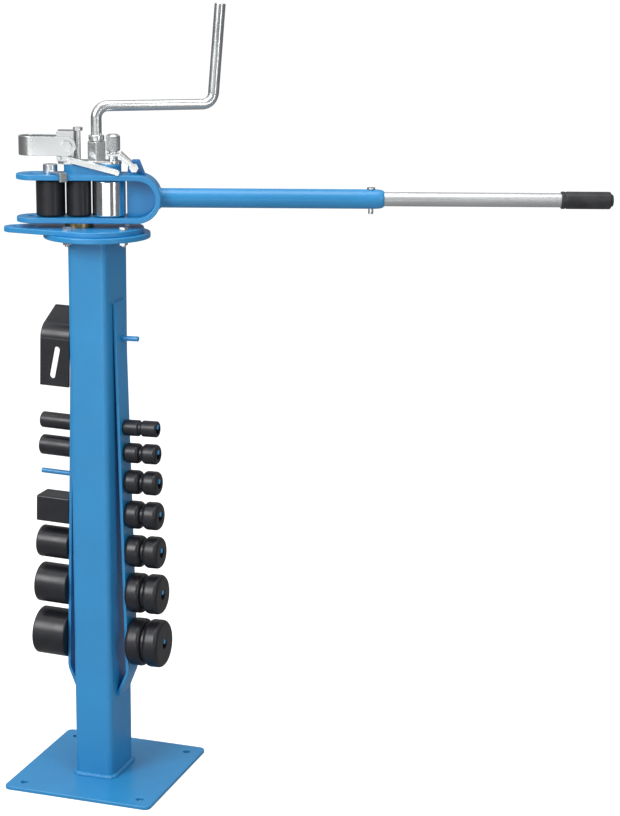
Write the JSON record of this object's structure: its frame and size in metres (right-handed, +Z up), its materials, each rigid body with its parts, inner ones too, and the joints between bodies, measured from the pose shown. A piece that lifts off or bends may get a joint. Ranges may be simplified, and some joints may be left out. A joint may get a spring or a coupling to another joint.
{
  "type": "flat bar bender",
  "caption": "Blue pedestal flat bar bender with a swinging roller fork, long lever, crank brake and racks of dies down both sides of the post",
  "frame": {"origin": "middle of the base plate's underside", "axes": "+X to the right along the plate's front edge, +Y to the back, +Z up"},
  "size_m": [0.8841, 0.407, 1.2298],
  "materials": {
    "blue_paint": "semi-gloss blue powder coat",
    "black_oxide": "oiled black oxide on turned steel",
    "zinc_plate": "bright zinc plate",
    "chrome_plate": "bright hard chrome",
    "bronze": "turned bearing bronze",
    "grip_rubber": "moulded black grip"
  },
  "bodies": {
    "pedestal": {"base_plate": "blue_paint", "foot_weld": "blue_paint", "post_tube": "blue_paint", "top_weld": "blue_paint", "top_flange": "blue_paint", "head_plate": "blue_paint", "flange_bolts": "zinc_plate", "king_pin": "zinc_plate", "thrust_washer": "bronze", "rack_strip_left": "blue_paint", "rack_strip_right": "blue_paint", "rack_pegs_left": "blue_paint", "rack_pegs_right": "blue_paint"},
    "fork": {"fork_arm_lower": "blue_paint", "fork_arm_upper": "blue_paint", "fork_bend": "blue_paint", "bend_web": "blue_paint", "lever_socket": "blue_paint", "lever_extension": "zinc_plate", "lever_grip": "grip_rubber", "plated_roller_pin": "zinc_plate", "pivot_boss": "blue_paint", "link_plate": "zinc_plate", "strap_block": "zinc_plate", "block_bolt": "zinc_plate", "strap_bolt": "zinc_plate", "screw_column": "zinc_plate", "stay_lug": "blue_paint", "stay_link": "zinc_plate", "stay_bolt": "zinc_plate", "brace_bar": "zinc_plate", "brace_bolts": "zinc_plate"},
    "centre_die_body": {"centre_die": "black_oxide"},
    "bend_roller_body": {"bend_roller": "black_oxide"},
    "plated_roller_body": {"plated_roller": "chrome_plate"},
    "pull_pin_body": {"pull_pin": "zinc_plate"},
    "cross_pin_body": {"cross_pin": "zinc_plate"},
    "brake_pad_body": {"brake_pad": "bronze"},
    "thumb_screw_body": {"thumb_screw": "zinc_plate"},
    "square_die_body": {"square_die": "black_oxide"},
    "crank_body": {"crank_handle": "zinc_plate"},
    "strap_body": {"hold_strap": "zinc_plate"},
    "bracket_body": {"slotted_bracket": "black_oxide"},
    "grooved_die_1_body": {"grooved_die_1": "black_oxide"},
    "grooved_die_2_body": {"grooved_die_2": "black_oxide"},
    "grooved_die_3_body": {"grooved_die_3": "black_oxide"},
    "grooved_die_4_body": {"grooved_die_4": "black_oxide"},
    "grooved_die_5_body": {"grooved_die_5": "black_oxide"},
    "grooved_die_6_body": {"grooved_die_6": "black_oxide"},
    "grooved_die_7_body": {"grooved_die_7": "black_oxide"},
    "plain_die_1_body": {"plain_die_1": "black_oxide"},
    "plain_die_2_body": {"plain_die_2": "black_oxide"},
    "plain_die_5_body": {"plain_die_5": "black_oxide"},
    "plain_die_6_body": {"plain_die_6": "black_oxide"},
    "plain_die_7_body": {"plain_die_7": "black_oxide"}
  },
  "joints": [
    {"name": "fork_swing", "type": "hinge", "parent": "pedestal", "child": "fork", "pos_m": [-0.02537, -0.00924, 0.902], "axis": [0, 0, 1], "range_deg": [-110, 110]},
    {"name": "centre_die_spin", "type": "hinge", "parent": "pedestal", "child": "centre_die_body", "pos_m": [-0.02537, -0.00924, 0.9385], "axis": [0, 0, 1], "continuous": true},
    {"name": "bend_roller_spin", "type": "hinge", "parent": "fork", "child": "bend_roller_body", "pos_m": [-0.06557, -0.02386, 0.9385], "axis": [0, 0, 1], "continuous": true},
    {"name": "plated_roller_spin", "type": "hinge", "parent": "fork", "child": "plated_roller_body", "pos_m": [0.0179, 0.00651, 0.9385], "axis": [0, 0, 1], "continuous": true},
    {"name": "pull_pin_lift", "type": "slide", "parent": "fork", "child": "pull_pin_body", "axis": [0, 0, 1], "range_m": [0, 0.015]},
    {"name": "cross_pin_pull", "type": "slide", "parent": "fork", "child": "cross_pin_body", "axis": [0, 0, 1], "range_m": [0, 0.045]},
    {"name": "pad_lift", "type": "slide", "parent": "fork", "child": "brake_pad_body", "axis": [0, 0, 1], "range_m": [0, 0.0025]},
    {"name": "crank_turn", "type": "hinge", "parent": "brake_pad_body", "child": "crank_body", "pos_m": [0.00094, 0.00034, 1], "axis": [0, 0, 1], "range_deg": [0, 450]},
    {"name": "strap_flip", "type": "hinge", "parent": "fork", "child": "strap_body", "pos_m": [-0.04041, -0.01471, 1.018], "axis": [-0.342, 0.9397, 0], "range_deg": [0, 95]},
    {"name": "thumb_screw_turn", "type": "hinge", "parent": "fork", "child": "thumb_screw_body", "pos_m": [0.02443, 0.00889, 1], "axis": [0, 0, 1], "continuous": true},
    {"name": "grooved_die_1_off", "type": "slide", "parent": "pedestal", "child": "grooved_die_1_body", "axis": [0.9997, 0, 0.0258], "range_m": [0, 0.06]},
    {"name": "grooved_die_2_off", "type": "slide", "parent": "pedestal", "child": "grooved_die_2_body", "axis": [0.9997, 0, 0.0258], "range_m": [0, 0.06]},
    {"name": "grooved_die_3_off", "type": "slide", "parent": "pedestal", "child": "grooved_die_3_body", "axis": [0.9997, 0, 0.0258], "range_m": [0, 0.06]},
    {"name": "grooved_die_4_off", "type": "slide", "parent": "pedestal", "child": "grooved_die_4_body", "axis": [0.9997, 0, 0.0258], "range_m": [0, 0.06]},
    {"name": "grooved_die_5_off", "type": "slide", "parent": "pedestal", "child": "grooved_die_5_body", "axis": [0.9997, 0, 0.0258], "range_m": [0, 0.06]},
    {"name": "grooved_die_6_off", "type": "slide", "parent": "pedestal", "child": "grooved_die_6_body", "axis": [0.9997, 0, 0.0258], "range_m": [0, 0.06]},
    {"name": "grooved_die_7_off", "type": "slide", "parent": "pedestal", "child": "grooved_die_7_body", "axis": [0.9997, 0, 0.0258], "range_m": [0, 0.06]},
    {"name": "plain_die_1_off", "type": "slide", "parent": "pedestal", "child": "plain_die_1_body", "axis": [-0.9997, 0, 0.0258], "range_m": [0, 0.06]},
    {"name": "plain_die_2_off", "type": "slide", "parent": "pedestal", "child": "plain_die_2_body", "axis": [-0.9997, 0, 0.0258], "range_m": [0, 0.06]},
    {"name": "plain_die_5_off", "type": "slide", "parent": "pedestal", "child": "plain_die_5_body", "axis": [-0.9997, 0, 0.0258], "range_m": [0, 0.06]},
    {"name": "plain_die_6_off", "type": "slide", "parent": "pedestal", "child": "plain_die_6_body", "axis": [-0.9997, 0, 0.0258], "range_m": [0, 0.06]},
    {"name": "plain_die_7_off", "type": "slide", "parent": "pedestal", "child": "plain_die_7_body", "axis": [-0.9997, 0, 0.0258], "range_m": [0, 0.06]},
    {"name": "square_die_off", "type": "slide", "parent": "pedestal", "child": "square_die_body", "axis": [-0.9997, 0, 0.0258], "range_m": [0, 0.06]},
    {"name": "bracket_off", "type": "slide", "parent": "pedestal", "child": "bracket_body", "axis": [-0.9997, 0, 0.0258], "range_m": [0, 0.035]}
  ],
  "couplings": [
    {"joint": "pad_lift", "follows": "crank_turn", "m_per_rad": 0.00031831}
  ]
}
